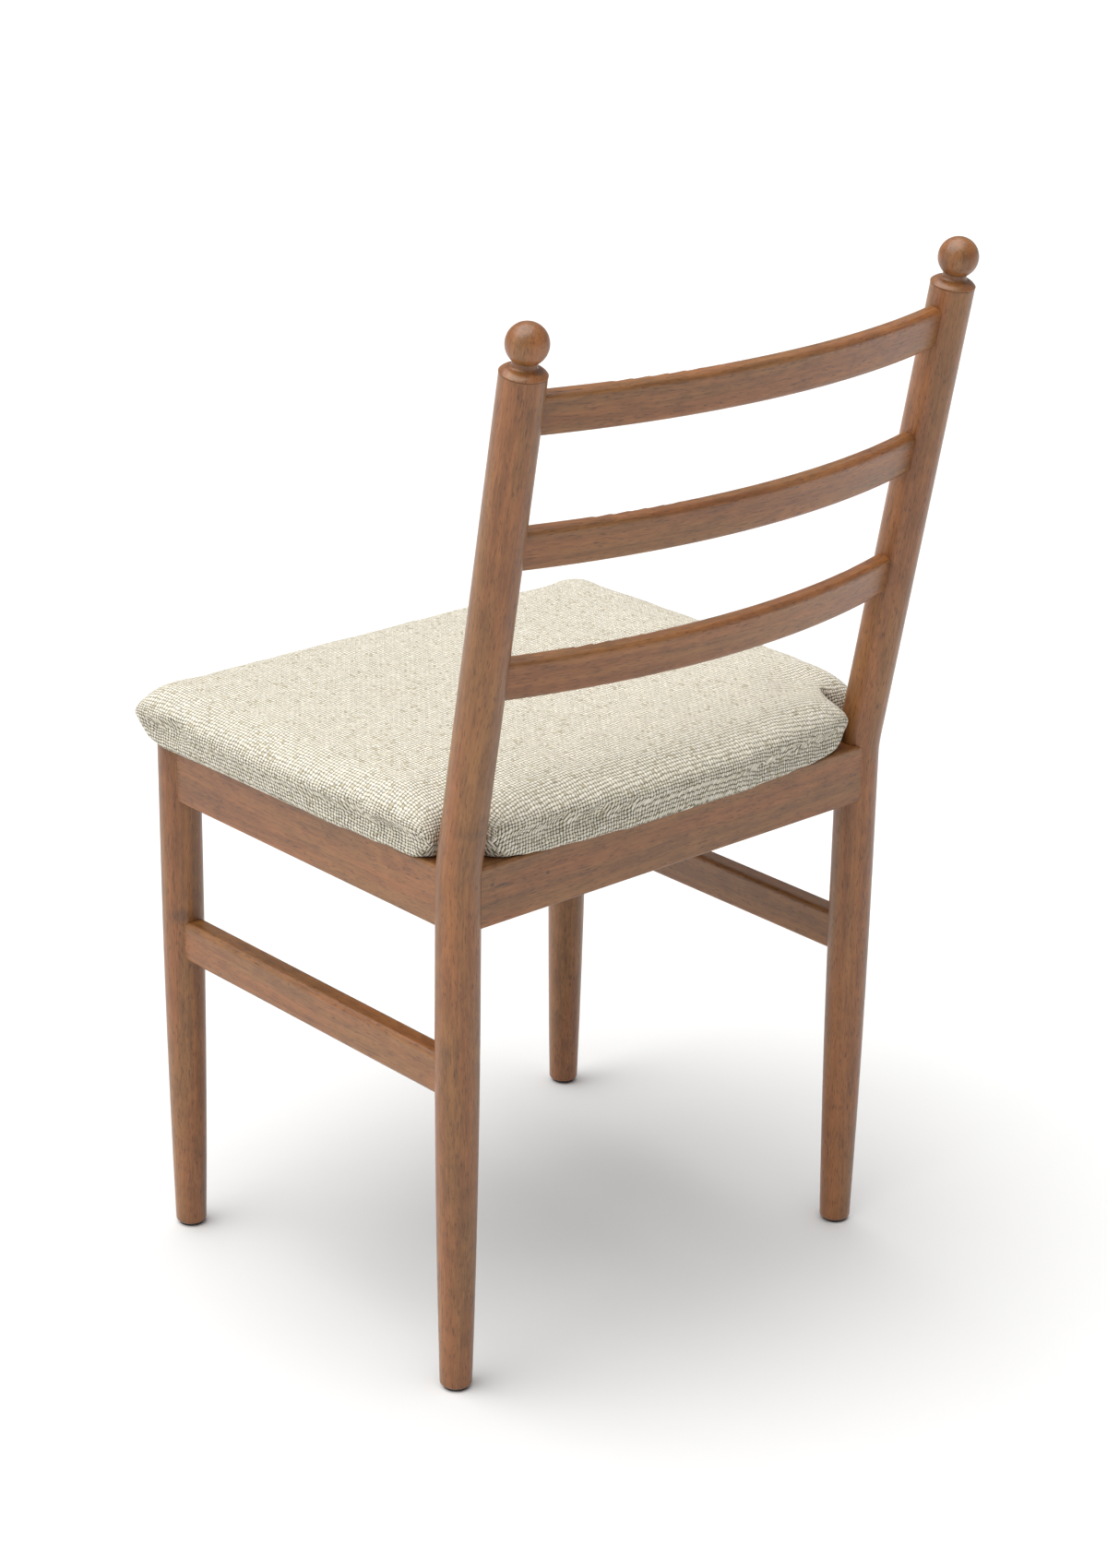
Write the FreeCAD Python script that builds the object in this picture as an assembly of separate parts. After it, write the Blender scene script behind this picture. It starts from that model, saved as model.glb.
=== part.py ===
import FreeCAD, Part
import math
import os

os.makedirs("parts", exist_ok=True)

V = FreeCAD.Vector
UP = V(0, 0, 1)

# Whole chair, in millimetres
TOTAL_HEIGHT = 850.0
TOTAL_WIDTH = 490.0
LEG_INSET = 36.0
LEG_DEPTH = 344.0

# Legs and back posts
LEG_R = 17.0
FOOT_R = 12.6
FOOT_EDGE = 2.5
TAPER_TOP = 330.0
TAPER_BULGE = 1.1
BEND_Z = 429.0
BEND_RADIUS = 120.0
RAKE = 10.24
SPLAY_TURN = 3.1

# Turned finials
BALL_R = 15.4
NECK_R = 9.0
RIM_R = 17.2
RIM_EDGE = 0.5
RIM_HEIGHT = 1.2
BALL_RISE = 22.0
RIM_BULGE = 0.8
COVE_R = 10.6
COVE_HEIGHT = 5.0
COVE_HOLLOW = 0.4
PEG_R = 6.0
PEG_LENGTH = 14.0
PEG_CHAMFER = 1.0

# Seat rails
RAIL_TOP = 432.0
RAIL_HEIGHT = 48.0
RAIL_THICK = 20.0
RAIL_ROUND = 2.5
SIDE_FACE = 11.5
CROSS_FACE = 14.0

# Side stretchers
STRETCHER_BOTTOM = 245.6
STRETCHER_HEIGHT = 34.0
STRETCHER_THICK = 19.0
STRETCHER_ROUND = 5.0

# Back slats
SLAT_HEIGHT = 31.8
SLAT_THICK = 14.0
SLAT_ROUND = 5.0
SLAT_SAG = 36.2
SLAT_FORWARD = 4.7
SLAT_DROP = 67.4
SLAT_STEP = 100.9
SLAT_NAMES = ("slat_top", "slat_middle", "slat_bottom")

# Mortise and tenon joints
RAIL_TENON_THICK = 9.0
RAIL_TENON_SHOULDER = 8.0
STRETCHER_TENON_THICK = 9.0
STRETCHER_TENON_SHOULDER = 6.0
SLAT_TENON_THICK = 8.0
SLAT_TENON_SHOULDER = 4.0
TENON_ROUND = 3.0
CROSS_TENON_PAST = 5.0
SIDE_TENON_SHORT = 3.5
STRETCHER_TENON_PAST = 4.0
SLAT_TENON_PAST = 5.0
GLUE_GAP = 0.1
TIP_GAP = 1.0
JOIN_TOLERANCE = 0.0005

# Foot glides
GLIDE_R = 10.0
GLIDE_THICK = 2.5
GLIDE_EDGE = 1.0
NAIL_R = 1.3
NAIL_LENGTH = 14.0
NAIL_GAP = 0.05

# Corner blocks and screws
BLOCK_LEG = 55.0
BLOCK_HEIGHT = 28.0
BLOCK_DROP = 4.0
BLOCK_CLEARANCE = 1.5
BLOCK_SCREW_SPREAD = 17.0
BLOCK_SCREW_R = 2.0
BLOCK_SCREW_LENGTH = 34.0
SEAT_SCREW_R = 2.4
SEAT_SCREW_LENGTH = 40.0
SEAT_SCREW_INSET = 20.0
SCREW_HEAD_RATIO = 2.0
SCREW_DOME_RATIO = 0.45
SCREW_POINT_RATIO = 2.5
RECESS_RATIO = 0.6
SCREW_GAP = 0.05

# Upholstered seat
SEAT_WIDEST_Y = -230.0
SEAT_SIDE_R = 1500.0
SEAT_FRONT_REACH = 27.0
SEAT_REAR_REACH = 41.0
SEAT_REAR_R = 740.0
SEAT_CORNER_R = 9.0
SEAT_CROWN = 47.0
SEAT_WIDEST_RISE = 17.0
SEAT_EDGE_DRAW = 13.0
SEAT_EDGE_ROUND = 25.0
SEAT_SHOULDER_RISE = 43.0
SEAT_CROWN_INSET = 105.0
SEAT_CROWN_FULLNESS = 0.75
SEAT_EDGE_STEPS = 3
SEAT_SHOULDER_TURN = 75.0
SEAT_CORNER_SOFTEN = 14.0
NOTCH_FORWARD = 2.0
NOTCH_GAP = 3.5
NOTCH_SIDE_ROUND = 9.0
NOTCH_REAR_ROUND = 14.0
COVER_THICK = 1.5
COVER_TURN = 60.0
BOARD_THICK = 9.0
BOARD_GAP = 1.0
DUST_THICK = 0.6
DUST_GAP = 3.0

# Sizes that follow from the ones above
LEG_X = TOTAL_WIDTH / 2 - LEG_INSET
RAKE_SIN = math.sin(math.radians(RAKE))
RAKE_COS = math.cos(math.radians(RAKE))
LEAN = V(0, RAKE_SIN, RAKE_COS)
BEND_RUN = BEND_RADIUS * math.tan(math.radians(RAKE) / 2)
BALL_AXIS = (TOTAL_HEIGHT - BALL_R - BEND_Z) / RAKE_COS
SHOULDER = V(0, 0, BEND_Z) + LEAN * (BALL_AXIS - BALL_RISE)
SLAT_MIDDLES = {
    name: TOTAL_HEIGHT - SLAT_DROP - step * SLAT_STEP for step, name in enumerate(SLAT_NAMES)
}
RAIL_Z = RAIL_TOP - RAIL_HEIGHT / 2
SIDE_RAIL_X = LEG_X + SIDE_FACE - RAIL_THICK / 2
BACK_RAIL_Y = CROSS_FACE - RAIL_THICK / 2
FRONT_RAIL_Y = -LEG_DEPTH - BACK_RAIL_Y
RAIL_TENON_HEIGHT = RAIL_HEIGHT - 2 * RAIL_TENON_SHOULDER
STRETCHER_Z = STRETCHER_BOTTOM + STRETCHER_HEIGHT / 2
BLOCK_TOP = RAIL_TOP - BLOCK_DROP
BLOCK_X = SIDE_RAIL_X - RAIL_THICK / 2
BLOCK_BACK_Y = BACK_RAIL_Y - RAIL_THICK / 2
BLOCK_FRONT_Y = FRONT_RAIL_Y + RAIL_THICK / 2
BOARD_INSET = SEAT_EDGE_DRAW + COVER_THICK + BOARD_GAP


def post_place(height):
    """Place of the post's axis at the given height, for the left post."""
    run = (height - BEND_Z) * RAKE_SIN / RAKE_COS
    turn = math.radians(SPLAY_TURN)
    return V(LEG_X + run * math.sin(turn), run * math.cos(turn), height)


def slat_radius(z_mid):
    """Radius of the arc through both posts that has the slat's sagitta."""
    return (post_place(z_mid).x ** 2 + SLAT_SAG ** 2) / (2 * SLAT_SAG)


def slat_rear(z_mid):
    """Depth of the slat's centre line at its middle."""
    return post_place(z_mid).y - SLAT_FORWARD + SLAT_SAG


# The middle of the overall depth is the origin
REAR_MOST = (
    slat_rear(SLAT_MIDDLES["slat_top"])
    + (SLAT_HEIGHT / 2 - SLAT_ROUND) * RAKE_SIN
    + (SLAT_THICK / 2 - SLAT_ROUND) * RAKE_COS + SLAT_ROUND
)
FRONT_MOST = -LEG_DEPTH - SEAT_FRONT_REACH
TO_ORIGIN = V(0, -(REAR_MOST + FRONT_MOST) / 2, 0)


def rounded_face(width, height, radius):
    """Rounded rectangle in the YZ plane, centred on the origin."""
    a = width / 2 - radius
    b = height / 2 - radius
    centres = [V(0, a, b), V(0, -a, b), V(0, -a, -b), V(0, a, -b)]

    def spot(corner, quarter):
        angle = math.radians(90 * (corner + quarter))
        return centres[corner % 4] + V(0, math.cos(angle), math.sin(angle)) * radius

    edges = []
    for corner in range(4):
        edges.append(Part.Arc(spot(corner, 0), spot(corner, 0.5), spot(corner, 1)).toShape())
        edges.append(Part.makeLine(spot(corner, 1), spot(corner + 1, 0)))
    return Part.Face(Part.Wire(edges))


def bar_across(face, x_end, y, z):
    """Bar of the given section from side to side."""
    section = face.copy()
    section.translate(V(-x_end, y, z))
    return section.extrude(V(2 * x_end, 0, 0))


def bar_along(face, x, y_front, y_back, z):
    """Bar of the given section from front to back."""
    section = face.copy()
    section.rotate(V(), UP, 90)
    section.translate(V(x, y_front, z))
    return section.extrude(V(0, y_back - y_front, 0))


def tenon_face(thick, height, gap):
    return rounded_face(thick + 2 * gap, height + 2 * gap, TENON_ROUND + gap)


def revolved(edges):
    """Solid turned around the Z axis from a profile in the XZ plane."""
    return Part.Face(Part.Wire(edges)).revolve(V(), UP, 360)


def chain(points):
    """Straight edges through the given radius and height pairs."""
    spots = [V(r, 0, z) for r, z in points]
    return [Part.makeLine(start, end) for start, end in zip(spots, spots[1:])]


def arc(start, middle, end):
    spots = [V(r, 0, z) for r, z in (start, middle, end)]
    return Part.Arc(*spots).toShape()


def bulged(start, end, rise):
    """Arc between two radius and height pairs that stands off its chord by the rise, outwards if positive."""
    run = math.dist(start, end)
    across = (end[1] - start[1]) * rise / run
    along = (start[0] - end[0]) * rise / run
    return arc(start, ((start[0] + end[0]) / 2 + across, (start[1] + end[1]) / 2 + along), end)


def quarter_round(start, end, radius):
    return bulged(start, end, radius * (1 - math.sqrt(0.5)))


def turned_leg(top, extra):
    """Round leg that tapers to the foot, with its axis on Z."""
    foot = (FOOT_R + extra, GLIDE_THICK + FOOT_EDGE)
    waist = (LEG_R + extra, TAPER_TOP)
    sole = (foot[0] - FOOT_EDGE, GLIDE_THICK)
    edges = chain([(0, GLIDE_THICK), sole])
    edges.append(quarter_round(sole, foot, FOOT_EDGE))
    edges.append(bulged(foot, waist, TAPER_BULGE))
    edges += chain([waist, (waist[0], top), (0, top), (0, GLIDE_THICK)])
    return revolved(edges)


def front_leg_blank(extra):
    leg = turned_leg(RAIL_TOP, extra)
    leg.translate(V(LEG_X, -LEG_DEPTH, 0))
    return leg


def on_post(shape):
    """Moves a shape from the upright leg's own axis to the left back leg."""
    moved = shape.copy()
    moved.rotate(V(), UP, -SPLAY_TURN)
    moved.translate(V(LEG_X, 0, 0))
    return moved


def back_leg_blank(extra):
    """Leg and raked post bent from one length."""
    radius = LEG_R + extra
    bend_start = BEND_Z - BEND_RUN
    lower = turned_leg(bend_start, extra)
    ring = Part.Face(Part.Wire(Part.makeCircle(radius, V(0, 0, bend_start), UP)))
    bend = ring.revolve(V(0, BEND_RADIUS, bend_start), V(-1, 0, 0), RAKE)
    bend_end = V(0, 0, BEND_Z) + LEAN * BEND_RUN
    upper = Part.makeCylinder(radius, (SHOULDER - bend_end).Length, bend_end, LEAN)
    return on_post(lower.fuse([bend, upper]).removeSplitter())


def mirrored(shape):
    return shape.mirror(V(), V(1, 0, 0))


def both_sides(shape):
    return [shape, mirrored(shape)]


def finial():
    """Ball, neck and shoulder turned in one piece with a round peg."""
    ball_foot = BALL_RISE - math.sqrt(BALL_R ** 2 - NECK_R ** 2)
    neck_low = (NECK_R, (COVE_HEIGHT + ball_foot) / 2)
    cove = (COVE_R, COVE_HEIGHT)
    rim = (RIM_R, RIM_HEIGHT)
    edges = chain([
        (0, -PEG_LENGTH), (PEG_R - PEG_CHAMFER, -PEG_LENGTH), (PEG_R, PEG_CHAMFER - PEG_LENGTH),
        (PEG_R, 0), (RIM_R - RIM_EDGE, 0), (RIM_R, RIM_EDGE), rim,
    ])
    edges.append(bulged(rim, cove, RIM_BULGE))
    edges.append(bulged(cove, neck_low, -COVE_HOLLOW))
    edges += chain([neck_low, (NECK_R, ball_foot)])
    edges.append(arc((NECK_R, ball_foot), (BALL_R, BALL_RISE), (0, BALL_RISE + BALL_R)))
    edges += chain([(0, BALL_RISE + BALL_R), (0, -PEG_LENGTH)])
    piece = revolved(edges)
    piece.rotate(V(), V(1, 0, 0), -RAKE)
    piece.translate(SHOULDER)
    return on_post(piece)


def bent_strip(face, z_mid, past):
    """Section tilted with the posts and swept to a distance past their axes."""
    radius = slat_radius(z_mid)
    half_angle = math.degrees(math.asin(post_place(z_mid).x / radius) + past / radius)
    section = face.copy()
    section.rotate(V(), V(1, 0, 0), -RAKE)
    section.translate(V(0, radius, 0))
    section.rotate(V(), UP, -half_angle)
    strip = section.revolve(V(), UP, 2 * half_angle)
    strip.translate(V(0, slat_rear(z_mid) - radius, z_mid))
    return strip


def slat_tenon(z_mid, gap, tip):
    face = tenon_face(SLAT_TENON_THICK, SLAT_HEIGHT - 2 * SLAT_TENON_SHOULDER, gap)
    return bent_strip(face, z_mid, SLAT_TENON_PAST + tip)


def cross_tenon(y, gap, tip):
    face = tenon_face(RAIL_TENON_THICK, RAIL_TENON_HEIGHT, gap)
    return bar_across(face, LEG_X + CROSS_TENON_PAST + tip, y, RAIL_Z)


def side_tenon(gap, tip):
    face = tenon_face(RAIL_TENON_THICK, RAIL_TENON_HEIGHT, gap)
    back = tip - SIDE_TENON_SHORT
    return bar_along(face, SIDE_RAIL_X, -LEG_DEPTH - back, back, RAIL_Z)


def stretcher_tenon(gap, tip):
    height = STRETCHER_HEIGHT - 2 * STRETCHER_TENON_SHOULDER
    face = tenon_face(STRETCHER_TENON_THICK, height, gap)
    back = STRETCHER_TENON_PAST + tip
    return bar_along(face, LEG_X, -LEG_DEPTH - back, back, STRETCHER_Z)


def with_tenons(piece, tenons):
    """Piece joined with its tenons, which cross the curved faces where it meets the legs."""
    return piece.fuse([tenons], JOIN_TOLERANCE)


def glide(x, y):
    """Plastic foot with its nail."""
    edges = chain([(0, 0), (GLIDE_R - GLIDE_EDGE, 0)])
    edges.append(quarter_round((GLIDE_R - GLIDE_EDGE, 0), (GLIDE_R, GLIDE_EDGE), GLIDE_EDGE))
    tip = GLIDE_THICK + NAIL_LENGTH
    edges += chain([
        (GLIDE_R, GLIDE_EDGE), (GLIDE_R, GLIDE_THICK), (NAIL_R, GLIDE_THICK),
        (NAIL_R, tip - NAIL_R), (0, tip), (0, 0),
    ])
    piece = revolved(edges)
    piece.translate(V(x, y, 0))
    return piece


def nail_bore(x, y):
    depth = NAIL_LENGTH + TIP_GAP
    return Part.makeCylinder(NAIL_R + NAIL_GAP, depth, V(x, y, GLIDE_THICK))


def placed(shape, seat, direction):
    copy = shape.copy()
    copy.Placement = FreeCAD.Placement(seat, FreeCAD.Rotation(UP, direction))
    return copy


def screw(radius, length):
    """Wood screw along +Z with the underside of its head at zero."""
    head_r = SCREW_HEAD_RATIO * radius
    dome = SCREW_DOME_RATIO * head_r
    flat = head_r - dome
    point = length - SCREW_POINT_RATIO * radius
    edges = chain([(0, -dome), (flat, -dome)])
    edges.append(quarter_round((flat, -dome), (head_r, 0), dome))
    edges += chain([(head_r, 0), (radius, 0), (radius, point), (0, length), (0, -dome)])
    body = revolved(edges)
    arm = RECESS_RATIO * head_r
    blade = RECESS_RATIO * dome
    for turn in (0, 90):
        slot = Part.makeBox(2 * arm, blade, blade, V(-arm, -blade / 2, -dome))
        slot.rotate(V(), UP, turn)
        body = body.cut(slot)
    return body


def screw_bore(radius, length):
    return Part.makeCylinder(radius + SCREW_GAP, length + TIP_GAP)


def block_corner(y_end):
    """Inner corner of the rails, the signs of the outward diagonal, for one end."""
    if y_end == "back":
        return V(BLOCK_X, BLOCK_BACK_Y, 0), 1
    return V(BLOCK_X, BLOCK_FRONT_Y, 0), -1


def corner_block(y_end, leg):
    """Triangular brace glued and screwed into the corner of the rails."""
    corner, sign = block_corner(y_end)
    base = corner + V(0, 0, BLOCK_TOP - BLOCK_HEIGHT)
    spots = [base, base + V(-BLOCK_LEG, 0, 0), base + V(0, -sign * BLOCK_LEG, 0), base]
    prism = Part.Face(Part.makePolygon(spots)).extrude(V(0, 0, BLOCK_HEIGHT))
    return prism.cut(leg)


def block_screw_seats(y_end):
    """Head seats and directions of the two screws on the long face."""
    corner, sign = block_corner(y_end)
    outward = V(1, sign, 0).normalize()
    along = V(1, -sign, 0).normalize()
    middle = corner + V(-BLOCK_LEG / 2, -sign * BLOCK_LEG / 2, BLOCK_TOP - BLOCK_HEIGHT / 2)
    return [(middle + along * step, outward) for step in (BLOCK_SCREW_SPREAD, -BLOCK_SCREW_SPREAD)]


def seat_screw_seat(y_end):
    corner, sign = block_corner(y_end)
    inset = V(-SEAT_SCREW_INSET, -sign * SEAT_SCREW_INSET, BLOCK_TOP - BLOCK_HEIGHT)
    return corner + inset


def meeting(centre_a, reach_a, centre_b, reach_b, turn):
    """Point at the given distances from two centres, on the chosen side."""
    line = centre_b - centre_a
    gap = line.Length
    along = (reach_a ** 2 - reach_b ** 2 + gap ** 2) / (2 * gap)
    out = math.sqrt(reach_a ** 2 - along ** 2)
    unit = line / gap
    return centre_a + unit * along + V(-unit.y, unit.x, 0) * out * turn


def on_circle(centre, radius, towards):
    return centre + (towards - centre).normalize() * radius


def bowed(start, centre, radius, end):
    """Arc from start to end around the centre, the short way."""
    middle = on_circle(centre, radius, (start + end) / 2)
    return Part.Arc(start, middle, end).toShape()


def seat_outline(inset, z):
    """Outline of the seat, drawn in from its widest line and notched for the posts."""
    side_c = V(TOTAL_WIDTH / 2 - SEAT_SIDE_R, SEAT_WIDEST_Y, 0)
    side_r = SEAT_SIDE_R - inset
    rear_c = V(0, SEAT_REAR_REACH - SEAT_REAR_R, 0)
    rear_r = SEAT_REAR_R - inset
    notch_c = V(LEG_X, NOTCH_FORWARD, 0)
    notch_r = LEG_R + NOTCH_GAP + inset
    front_y = FRONT_MOST + inset
    softer = min(inset, SEAT_CORNER_SOFTEN)
    corner_r = SEAT_CORNER_R + softer
    ear_r = NOTCH_SIDE_ROUND + softer
    tail_r = NOTCH_REAR_ROUND + softer
    corner_y = front_y + corner_r
    corner_run = math.sqrt((side_r - corner_r) ** 2 - (corner_y - side_c.y) ** 2)
    corner_c = V(side_c.x + corner_run, corner_y, 0)
    ear_c = meeting(side_c, side_r - ear_r, notch_c, notch_r + ear_r, -1)
    tail_c = meeting(rear_c, rear_r - tail_r, notch_c, notch_r + tail_r, 1)
    front = V(corner_c.x, front_y, 0)
    corner = on_circle(corner_c, corner_r, corner_c * 2 - side_c)
    ear_side = on_circle(ear_c, ear_r, ear_c * 2 - side_c)
    ear_notch = on_circle(notch_c, notch_r, ear_c)
    tail_notch = on_circle(notch_c, notch_r, tail_c)
    tail_rear = on_circle(tail_c, tail_r, tail_c * 2 - rear_c)
    half = [
        bowed(front, corner_c, corner_r, corner),
        bowed(corner, side_c, side_r, ear_side),
        bowed(ear_side, ear_c, ear_r, ear_notch),
        bowed(ear_notch, notch_c, notch_r, tail_notch),
        bowed(tail_notch, tail_c, tail_r, tail_rear),
    ]
    rear = bowed(tail_rear, rear_c, rear_r, V(-tail_rear.x, tail_rear.y, 0))
    far_half = [mirrored(edge) for edge in reversed(half)]
    front_edge = Part.makeLine(V(-front.x, front_y, 0), front)
    wire = Part.Wire(Part.__sortEdges__([front_edge] + half + [rear] + far_half))
    wire.translate(V(0, 0, z))
    return wire


def seat_profile():
    """Inset from the widest line and rise above the rails of each level, from the bottom up."""
    levels = []
    for step in range(SEAT_EDGE_STEPS + 1):
        angle = math.radians(90 * step / SEAT_EDGE_STEPS)
        levels.append((SEAT_EDGE_DRAW * (1 - math.sin(angle)), SEAT_WIDEST_RISE * (1 - math.cos(angle))))
    for step in range(SEAT_EDGE_STEPS):
        angle = math.radians(SEAT_SHOULDER_TURN * (step + 1) / SEAT_EDGE_STEPS)
        rise = (SEAT_SHOULDER_RISE - SEAT_WIDEST_RISE) * math.sin(angle)
        levels.append((SEAT_EDGE_ROUND * (1 - math.cos(angle)), SEAT_WIDEST_RISE + rise))
    swell = SEAT_CROWN_FULLNESS * (SEAT_CROWN - SEAT_SHOULDER_RISE)
    levels.append(((SEAT_EDGE_ROUND + SEAT_CROWN_INSET) / 2, SEAT_SHOULDER_RISE + swell))
    levels.append((SEAT_CROWN_INSET, SEAT_CROWN))
    return levels


def seat_solid(skin):
    """Crowned seat with drawn-in sides, the skin thickness inside its outer face."""
    shrink = 1 - 2 * skin / SEAT_CROWN
    wires = [
        seat_outline(inset + skin, RAIL_TOP + skin + rise * shrink)
        for inset, rise in seat_profile()
    ]
    return Part.makeLoft(wires, True, True)


def seat_slab(inset, z, thick):
    return Part.Face(seat_outline(inset, z)).extrude(V(0, 0, thick))


def export(name, shape):
    moved = shape.copy()
    moved.translate(TO_ORIGIN)
    solids = moved.Solids
    if not moved.isValid():
        raise RuntimeError(name + " is not a valid solid")
    body = solids[0] if len(solids) == 1 else Part.makeCompound(solids)
    body.exportStep("parts/" + name + ".step")


def export_pair(stem, left):
    export(stem + "_left", left)
    export(stem + "_right", mirrored(left))


# Legs with the glue gap around them, which the ends of rails, stretchers and slats are cut against
back_cutter = back_leg_blank(GLUE_GAP)
front_cutter = front_leg_blank(GLUE_GAP)
leg_cutters = both_sides(back_cutter) + both_sides(front_cutter)

# Screws that hold the corner blocks to the rails
block_seats = block_screw_seats("back") + block_screw_seats("front")
block_screw = screw(BLOCK_SCREW_R, BLOCK_SCREW_LENGTH)
block_bore = screw_bore(BLOCK_SCREW_R, BLOCK_SCREW_LENGTH)
left_block_screws = [placed(block_screw, seat, way) for seat, way in block_seats]
left_block_bores = [placed(block_bore, seat, way) for seat, way in block_seats]
block_bores = [side for bore in left_block_bores for side in both_sides(bore)]
block_screws = [side for piece in left_block_screws for side in both_sides(piece)]
export("corner_block_screws", Part.makeCompound(block_screws))

# Screws that hold the seat down
seat_seats = [seat_screw_seat("back"), seat_screw_seat("front")]
seat_screw = screw(SEAT_SCREW_R, SEAT_SCREW_LENGTH)
seat_bore = screw_bore(SEAT_SCREW_R, SEAT_SCREW_LENGTH)
seat_bores = [side for seat in seat_seats for side in both_sides(placed(seat_bore, seat, UP))]
seat_screws = [side for seat in seat_seats for side in both_sides(placed(seat_screw, seat, UP))]
export("seat_screws", Part.makeCompound(seat_screws))

# Back legs with their mortises, peg bores and nail bores
peg_bore = on_post(Part.makeCylinder(PEG_R + GLUE_GAP, PEG_LENGTH + TIP_GAP, SHOULDER, -LEAN))
back_mortises = [
    cross_tenon(BACK_RAIL_Y, GLUE_GAP, TIP_GAP),
    side_tenon(GLUE_GAP, TIP_GAP),
    stretcher_tenon(GLUE_GAP, TIP_GAP),
    peg_bore,
    nail_bore(LEG_X, 0),
]
back_mortises += [slat_tenon(z_mid, GLUE_GAP, TIP_GAP) for z_mid in SLAT_MIDDLES.values()]
export_pair("back_leg", back_leg_blank(0).cut(back_mortises))

# Front legs
front_mortises = [
    cross_tenon(FRONT_RAIL_Y, GLUE_GAP, TIP_GAP),
    side_tenon(GLUE_GAP, TIP_GAP),
    stretcher_tenon(GLUE_GAP, TIP_GAP),
    nail_bore(LEG_X, -LEG_DEPTH),
]
export_pair("front_leg", front_leg_blank(0).cut(front_mortises))

# Finials on the posts
export_pair("finial", finial())

# Rails across the back and the front
rail_face = rounded_face(RAIL_THICK, RAIL_HEIGHT, RAIL_ROUND)
for name, rail_y in (("back_rail", BACK_RAIL_Y), ("front_rail", FRONT_RAIL_Y)):
    rail = bar_across(rail_face, LEG_X, rail_y, RAIL_Z).cut(leg_cutters)
    export(name, with_tenons(rail, cross_tenon(rail_y, 0, 0)).cut(block_bores))

# Rails along the sides
side_rail = bar_along(rail_face, SIDE_RAIL_X, -LEG_DEPTH, 0, RAIL_Z).cut(leg_cutters)
export_pair("side_rail", with_tenons(side_rail, side_tenon(0, 0)).cut(left_block_bores))

# Stretchers between front and back legs
stretcher_face = rounded_face(STRETCHER_THICK, STRETCHER_HEIGHT, STRETCHER_ROUND)
stretcher = bar_along(stretcher_face, LEG_X, -LEG_DEPTH, 0, STRETCHER_Z).cut(leg_cutters)
export_pair("side_stretcher", with_tenons(stretcher, stretcher_tenon(0, 0)))

# Bent slats between the posts
slat_face = rounded_face(SLAT_THICK, SLAT_HEIGHT, SLAT_ROUND)
for name, z_mid in SLAT_MIDDLES.items():
    slat = bent_strip(slat_face, z_mid, 0).cut(both_sides(back_cutter))
    export(name, with_tenons(slat, slat_tenon(z_mid, 0, 0)))

# Corner blocks
for y_end, blank in (("back", back_leg_blank), ("front", front_leg_blank)):
    block = corner_block(y_end, blank(BLOCK_CLEARANCE)).cut(left_block_bores + seat_bores)
    export_pair("corner_block_" + y_end, block)

# Seat board
board = seat_slab(BOARD_INSET, RAIL_TOP + COVER_THICK, BOARD_THICK)
export("seat_board", board.cut(seat_bores))

# Seat foam wrapped over the board's edge
inside = seat_solid(COVER_THICK)
export("seat_foam", inside.cut(board))

# Fabric cover turned under the board
opening = seat_slab(BOARD_INSET + COVER_TURN, RAIL_TOP, COVER_THICK)
export("seat_cover", seat_solid(0).cut([inside, opening] + seat_bores))

# Dust cover under the seat
dust_y = BLOCK_BACK_Y - DUST_GAP
dust_front = BLOCK_FRONT_Y + DUST_GAP
dust_x = BLOCK_X - DUST_GAP
dust = Part.makeBox(
    2 * dust_x, dust_y - dust_front, DUST_THICK, V(-dust_x, dust_front, RAIL_TOP - DUST_THICK)
)
leg_clear = both_sides(back_leg_blank(DUST_GAP)) + both_sides(front_leg_blank(DUST_GAP))
export("dust_cover", dust.cut(leg_clear + seat_bores))

# Foot glides
for y_end, foot_y in (("back", 0), ("front", -LEG_DEPTH)):
    export_pair("foot_glide_" + y_end, glide(LEG_X, foot_y))
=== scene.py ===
"""A wooden ladderback dining chair with an upholstered seat, dressed piece by piece over its CAD frame."""
import math

import bmesh
import bpy
from mathutils import Matrix, Vector, noise


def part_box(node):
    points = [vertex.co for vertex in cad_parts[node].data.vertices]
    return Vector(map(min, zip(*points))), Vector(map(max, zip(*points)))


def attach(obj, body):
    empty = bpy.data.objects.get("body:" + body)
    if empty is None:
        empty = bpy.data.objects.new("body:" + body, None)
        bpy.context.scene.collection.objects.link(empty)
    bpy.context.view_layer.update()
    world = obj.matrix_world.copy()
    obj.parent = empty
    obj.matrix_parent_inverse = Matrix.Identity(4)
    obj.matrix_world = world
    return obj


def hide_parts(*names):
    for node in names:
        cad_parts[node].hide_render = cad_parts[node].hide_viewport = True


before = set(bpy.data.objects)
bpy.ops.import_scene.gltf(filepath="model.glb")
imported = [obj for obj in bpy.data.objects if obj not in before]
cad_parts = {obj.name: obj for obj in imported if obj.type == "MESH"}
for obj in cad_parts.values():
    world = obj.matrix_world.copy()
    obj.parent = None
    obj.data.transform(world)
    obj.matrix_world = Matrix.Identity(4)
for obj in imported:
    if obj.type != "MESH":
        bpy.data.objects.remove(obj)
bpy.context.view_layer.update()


# Back legs with their posts, and front legs
# Round lengths of close-grained hardwood, turned to a slim foot, stained a mid brown and
# rubbed to a satin lacquer. A back leg and its raked post are bent from one length.
BEND_HEIGHT = 0.429
RAKE_SLOPE = math.tan(math.radians(10.24))
# The dark stain colour also serves as the painted shade in the finials' necks
STAIN_DARK_AND_SHADE = (0.147, 0.055, 0.0145, 1)
STAIN_LIGHT = (0.316, 0.128, 0.038, 1)
STAIN_WARM = (1.04, 0.97, 0.95, 1)
STAIN_COOL = (0.96, 1.02, 1.01, 1)
STAIN_PORE = (0.42, 0.36, 0.32, 1)
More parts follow.
